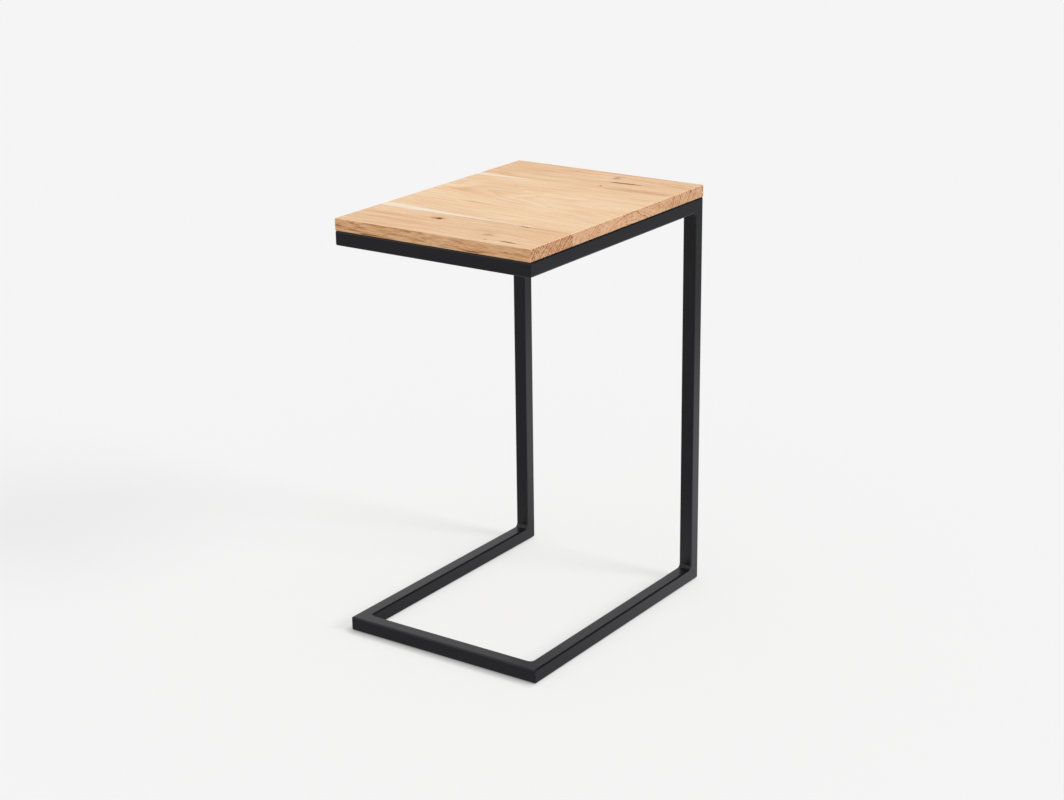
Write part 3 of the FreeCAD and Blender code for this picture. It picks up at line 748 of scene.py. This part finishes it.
def make_tube(node, axis, near_inner=None, far_inner=None,
              near_rounding=MITRE_ROUNDING, far_rounding=MITRE_ROUNDING):
    """A hollow tube in the place of its node; a mitred end has an inner direction and a rounding."""
    low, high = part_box(node)
    run = "xyz".index(axis)
    side = min(high - low)
    length = high[run] - low[run]
    start = (low + high) / 2
    start[run] = low[run]
    across, up = (AXES[name] for name in "xyz" if name != axis)
    form = bmesh.new()
    # Each point keeps its share of the corner specks, which are partly rubbed coat and partly painted
    # highlight
    worn_and_glint = form.verts.layers.float.new(CORNER_WEAR_AND_GLINT)
    skins = []
    for width, corner in ((side, TUBE_CORNER), (side - 2 * TUBE_WALL, BORE_CORNER)):
        columns = []
        for right, rise in rounded_square(width, corner):
            offset = across * right + up * rise
            passed = tube_end(offset, near_inner, side, near_rounding)
            for along, moved, wear_and_glint in reversed(tube_end(offset, far_inner, side, far_rounding)):
                passed.append((length - along, moved, wear_and_glint))
            column = []
            for along, moved, wear_and_glint in passed:
                point = form.verts.new(start + AXES[axis] * along + moved)
                point[worn_and_glint] = wear_and_glint
                column.append(point)
            columns.append(column)
        skin(form, columns)
        skins.append(columns)
    for end in (0, -1):
        rim = [[outer[end], bore[end]] for outer, bore in zip(*skins)]
        skin(form, rim)
    make_piece(f"{node}_tube", form, COAT, node)


# Weld beads in the inside corners, which run out over the rounded edges of the tubes
WELD_LEG = 5.0 * MM
WELD_HOLLOW_SHARE = 0.8
WELD_SINK = 0.2 * MM
WELD_RIPPLE = 0.16 * MM
WELD_PITCH = 2.3 * MM
WELD_END_GAP = 0.02 * MM
WELD_SECTIONS = 48
WELD_ARC_STEPS = 10


def make_bead(node, axis, first_leg, second_leg):
    """A fillet along an inside corner, whose legs lie along the two faces that it joins."""
    low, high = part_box(node)
    run = "xyz".index(axis)
    corner = (low + high) / 2
    legs = [direction(first_leg), direction(second_leg)]
    for text in (first_leg, second_leg):
        along = "xyz".index(text[1])
        corner[along] = high[along] if text[0] == "-" else low[along]
    half = (high[run] - low[run]) / 2 + TUBE_CORNER - WELD_END_GAP
    form = bmesh.new()
    sections = []
    for step in range(WELD_SECTIONS + 1):
        along = half * (2 * step / WELD_SECTIONS - 1)
        over_edge = max(abs(along) - (half - TUBE_CORNER), 0.0)
        drop = TUBE_CORNER - math.sqrt(max(TUBE_CORNER ** 2 - over_edge ** 2, 0.0))
        middle = corner + AXES[axis] * along
        ripple = WELD_RIPPLE * math.sin(2 * math.pi * along / WELD_PITCH)
        ripple += WELD_RIPPLE * noise.noise(middle / WELD_PITCH)
        reach = WELD_LEG + drop + ripple
        outline = [(reach, -WELD_SINK)]
        for arc_step in range(WELD_ARC_STEPS + 1):
            share = arc_step / WELD_ARC_STEPS
            turn = math.pi / 2 * share
            hollow = Vector((1 - math.sin(turn), 1 - math.cos(turn)))
            chord = Vector((1 - share, share))
            outline.append(chord.lerp(hollow, WELD_HOLLOW_SHARE) * reach)
        outline += [(-WELD_SINK, reach), (-WELD_SINK, -WELD_SINK)]
        section = []
        for first, second in outline:
            point = middle + legs[0] * (first - drop) + legs[1] * (second - drop)
            section.append(form.verts.new(point))
        sections.append(section)
    skin_sections(form, sections)
    make_piece(f"{node}_bead", form, COAT, node)


# Boards with their cracks cut into the upper face
CRACK_STEPS = 28
CRACK_DEPTH_SHARE = 0.5
CRACK_TIP_SHARE = 0.06
CRACK_SKEW = 1.8
CRACK_BLUNTNESS = 0.3
CRACK_NOTCH_SIZE = 4.0 * MM
CRACK_MEAN_SHARE = 0.9
CRACK_NOTCH_SHARE = 0.2
CRACK_SWAY_SHARE = 0.2
CRACK_SWAY_SCALE = 0.4
CUT_ABOVE = 0.5 * MM
FLAT_ANGLE = math.radians(0.5)


def crack_cutter(crack, upper_face):
    """A thin wedge with ragged sides that opens upwards."""
    start_x, start_y, end_x, end_y, width = (value * MM for value in crack)
    form = bmesh.new()
    sections = []
    for step in range(CRACK_STEPS + 1):
        share = step / CRACK_STEPS
        centre = Vector((start_x, start_y)).lerp(Vector((end_x, end_y)), share)
        sample = Vector((centre.x, centre.y, 0.0)) / CRACK_NOTCH_SIZE
        bulge = CRACK_TIP_SHARE + math.sin(math.pi * share ** CRACK_SKEW) ** CRACK_BLUNTNESS
        notched = CRACK_MEAN_SHARE + CRACK_NOTCH_SHARE * noise.noise(sample)
        opening = width / 2 * bulge * notched
        middle = centre.y + width * CRACK_SWAY_SHARE * noise.noise(sample * CRACK_SWAY_SCALE)
        depth = opening * 2 * CRACK_DEPTH_SHARE
        above = opening * (1 + CUT_ABOVE / depth)
        corners = ((middle - above, CUT_ABOVE), (middle + above, CUT_ABOVE), (middle, -depth))
        sections.append([form.verts.new((centre.x, y, upper_face + z)) for y, z in corners])
    skin_sections(form, sections)
    return make_object("crack_cutter", form)


def make_cracked_board(node, cracks, material):
    """The node's own shape with its cracks cut out."""
    form = node_form(node)
    bmesh.ops.dissolve_limit(form, angle_limit=FLAT_ANGLE, verts=form.verts, edges=form.edges)
    blank_mesh = bpy.data.meshes.new("blank")
    form.to_mesh(blank_mesh)
    blank = bpy.data.objects.new("blank", blank_mesh)
    bpy.context.scene.collection.objects.link(blank)
    cutters = [crack_cutter(crack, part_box(node)[1].z) for crack in cracks]
    for cutter in cutters:
        cut = blank.modifiers.new("crack", "BOOLEAN")
        cut.operation = "DIFFERENCE"
        cut.solver = "EXACT"
        cut.object = cutter
    bpy.context.view_layer.update()
    evaluated = blank.evaluated_get(bpy.context.evaluated_depsgraph_get())
    form.clear()
    form.from_mesh(evaluated.data)
    for helper in (blank, *cutters):
        bpy.data.objects.remove(helper)
    make_piece(f"{node}_plank", form, material, node)


# The table
COAT = powder_coat()
ZINC = zinc_steel()
PLASTIC = moulded_plastic()

for board_node, board_data in BOARDS.items():
    wood = oak(f"{board_node}_oak", board_data)
    if board_data["cracks"]:
        make_cracked_board(board_node, board_data["cracks"], wood)
    else:
        dress(board_node, wood)

for rail in ("top_front_rail", "base_front_rail"):
    make_tube(rail, "x", "+y", "+y")
make_tube("top_rear_rail", "x")
for side, inward in SIDES.items():
    make_tube(f"{side}_leg", "z", "-y", "-y", near_rounding=HEEL_ROUNDING, far_rounding=SHOULDER_ROUNDING)
    make_tube(f"top_{side}_rail", "y", inward, "-z", far_rounding=SHOULDER_ROUNDING)
    make_tube(f"base_{side}_runner", "y", inward, "+z", far_rounding=HEEL_ROUNDING)
    make_bead(f"{side}_heel_weld", "x", "-y", "+z")
    make_bead(f"{side}_shoulder_weld", "x", "-y", "-z")
    make_bead(f"base_{side}_corner_weld", "z", "+y", inward)
    make_bead(f"top_{side}_corner_weld", "z", "+y", inward)
    make_bead(f"rear_rail_{side}_weld", "z", "-y", inward)
    make_bead(f"rear_rail_{side}_under_weld", "y", "-z", inward)
    for end in ("front", "rear"):
        dress(f"{end}_{side}_tab", COAT)
        dress(f"{end}_{side}_tab_weld", COAT)
        dress(f"{end}_{side}_glide", PLASTIC)
make_cleaned_copy("top_screws", ZINC)
dress("top_washers", ZINC)


# Camera, fitted to the corners of the table in the picture, which is taken as 1064 x 800 pixels
IMAGE_WIDTH = 1064
FOCAL_PIXELS = 2094.07
CAMERA_PLACE = Vector((1.56238, -2.23723, 1.22397))
CAMERA_YAW = math.radians(34.78)
CAMERA_PITCH = math.radians(-18.611)
CAMERA_ROLL = math.radians(0.7)
SENSOR_WIDTH = 36.0
CLIP_END = 100.0


def make_camera():
    """A camera that looks along its yaw and pitch, and is rolled about that line."""
    level = math.cos(CAMERA_PITCH)
    forward = Vector((-math.sin(CAMERA_YAW) * level, math.cos(CAMERA_YAW) * level, math.sin(CAMERA_PITCH)))
    right = Vector((math.cos(CAMERA_YAW), math.sin(CAMERA_YAW), 0.0))
    down = forward.cross(right)
    rolled_right = math.cos(CAMERA_ROLL) * right + math.sin(CAMERA_ROLL) * down
    rolled_down = math.cos(CAMERA_ROLL) * down - math.sin(CAMERA_ROLL) * right
    data = bpy.data.cameras.new("camera")
    data.sensor_width = SENSOR_WIDTH
    data.lens = FOCAL_PIXELS * SENSOR_WIDTH / IMAGE_WIDTH
    data.clip_end = CLIP_END
    camera = bpy.data.objects.new("camera", data)
    bpy.context.scene.collection.objects.link(camera)
    turn = Matrix((rolled_right, -rolled_down, -forward)).transposed()
    camera.matrix_world = Matrix.Translation(CAMERA_PLACE) @ turn.to_4x4()
    bpy.context.scene.camera = camera


# Floor as the camera sees it, with a contact shadow on the sides turned away from the key light
FLOOR_RADIUS = 30.0
FLOOR_SIDES = 96
PALE = 0.914
PALE_GREY = (PALE, PALE, PALE, 1.0)
SEEN_SHARE = 0.65
CONTACT_REACH = 13.0 * MM
CONTACT_LEAN = Vector((0.8, 0.6, 0.3)).normalized()

# Floor as gloss sees it: a pool of light beside the table and a dark flag in front of it
POOL_CENTRE = (0.36, 0.64, 0.0)
POOL_REACH = (0.15, 1.00)
POOL_BRIGHTNESS = (1.00, 0.38)
FLAG_CENTRE = (0.98, -1.38, 0.0)
FLAG_ALONG = (0.571, -0.821, 0.0)
FLAG_ACROSS = (0.821, 0.571, 0.0)
FLAG_HALF_LENGTH = 1.30
FLAG_HALF_WIDTH = 0.55
FLAG_EDGE = (0.50, 1.00)
FLAG_BRIGHTNESS = (0.06, 1.00)

# Light: an even surround, which gloss sees with one dark side, a low key and a broad fill
WHITE = (1.0, 1.0, 1.0, 1.0)
AMBIENT = 0.40
BACKDROP = 0.80
DARK_SIDE = Vector((0.30, 0.75, 0.58)).normalized()
DARK_SIDE_EDGE = (0.55, 0.92)
DARK_BRIGHTNESS = 0.048
KEY_STRENGTH = 1.95
KEY_ANGLE = math.radians(21.0)
KEY_FROM = Vector((0.841, 0.164, 0.515))
FILL_STRENGTH = 0.90
FILL_ANGLE = math.radians(120.0)
FILL_FROM = Vector((0.3, 0.1, 1.0))


def ray_kinds(graph):
    """Whether a ray comes from the camera, and whether from gloss or clear material."""
    path = graph.node("ShaderNodeLightPath")
    gloss = graph.math("MAXIMUM", path.outputs["Is Glossy Ray"], path.outputs["Is Transmission Ray"])
    return path.outputs["Is Camera Ray"], gloss


def floor_material():
    """Pale, with faint shadows for the camera, and with the pool and the flag for gloss."""
    graph = Graph(bpy.data.materials.new("pale_floor"))
    camera, gloss = ray_kinds(graph)
    coordinates = graph.node("ShaderNodeTexCoord")
    place = coordinates.outputs["Object"]
    pool = graph.remap(graph.measure("DISTANCE", place, POOL_CENTRE), *POOL_REACH, *POOL_BRIGHTNESS)
    from_flag = graph.vector("SUBTRACT", place, FLAG_CENTRE)
    along = graph.measure("DOT_PRODUCT", from_flag, FLAG_ALONG)
    across = graph.measure("DOT_PRODUCT", from_flag, FLAG_ACROSS)
    distance = ellipse(graph, along, across, (0.0, 0.0), (FLAG_HALF_LENGTH, FLAG_HALF_WIDTH))
    reflected = graph.multiply(pool, graph.remap(distance, *FLAG_EDGE, *FLAG_BRIGHTNESS))
    contact = graph.node("ShaderNodeAmbientOcclusion")
    contact.inputs["Distance"].default_value = CONTACT_REACH
    graph.feed(contact.inputs["Normal"], graph.join(*CONTACT_LEAN))
    strength = graph.between(gloss, contact.outputs["AO"], reflected)
    glow = graph.shader("ShaderNodeEmission", Color=PALE_GREY, Strength=strength)
    lit = graph.shader("ShaderNodeBsdfDiffuse", Color=PALE_GREY)
    mixed = graph.node("ShaderNodeMixShader")
    graph.feed(mixed.inputs[0], graph.between(gloss, graph.multiply(camera, SEEN_SHARE), 1.0))
    graph.feed(mixed.inputs[1], lit)
    graph.feed(mixed.inputs[2], glow)
    return graph.end("ShaderNodeOutputMaterial", mixed.outputs[0])


def make_floor():
    """A wide round floor."""
    mesh = bpy.data.meshes.new("floor")
    turns = [2 * math.pi * i / FLOOR_SIDES for i in range(FLOOR_SIDES)]
    rim = [(FLOOR_RADIUS * math.cos(turn), FLOOR_RADIUS * math.sin(turn), 0.0) for turn in turns]
    mesh.from_pydata(rim, [], [list(range(FLOOR_SIDES))])
    mesh.materials.append(floor_material())
    floor = bpy.data.objects.new("floor", mesh)
    bpy.context.scene.collection.objects.link(floor)


def make_world():
    """A pale backdrop for the camera, an even soft light, and for gloss a backdrop with one dark side."""
    world = bpy.data.worlds.new("studio")
    bpy.context.scene.world = world
    graph = Graph(world)
    camera, gloss = ray_kinds(graph)
    coordinates = graph.node("ShaderNodeTexCoord")
    toward = graph.measure("DOT_PRODUCT", coordinates.outputs["Generated"], DARK_SIDE)
    reflected = graph.remap(toward, *DARK_SIDE_EDGE, BACKDROP, DARK_BRIGHTNESS)
    strength = graph.between(camera, graph.between(gloss, AMBIENT, reflected), PALE)
    light = graph.shader("ShaderNodeBackground", Color=WHITE, Strength=strength)
    graph.end("ShaderNodeOutputWorld", light)


def make_sun(name, toward, strength, angle):
    """A soft sun that gloss doesn't see; toward points from the table to the sun."""
    data = bpy.data.lights.new(name, "SUN")
    data.energy = strength
    data.angle = angle
    sun = bpy.data.objects.new(name, data)
    sun.rotation_mode = "QUATERNION"
    sun.rotation_quaternion = toward.to_track_quat("Z", "Y")
    sun.visible_glossy = False
    bpy.context.scene.collection.objects.link(sun)


make_camera()
make_floor()
make_world()
make_sun("key", KEY_FROM, KEY_STRENGTH, KEY_ANGLE)
make_sun("fill", FILL_FROM, FILL_STRENGTH, FILL_ANGLE)
bpy.context.scene.view_settings.view_transform = "Standard"
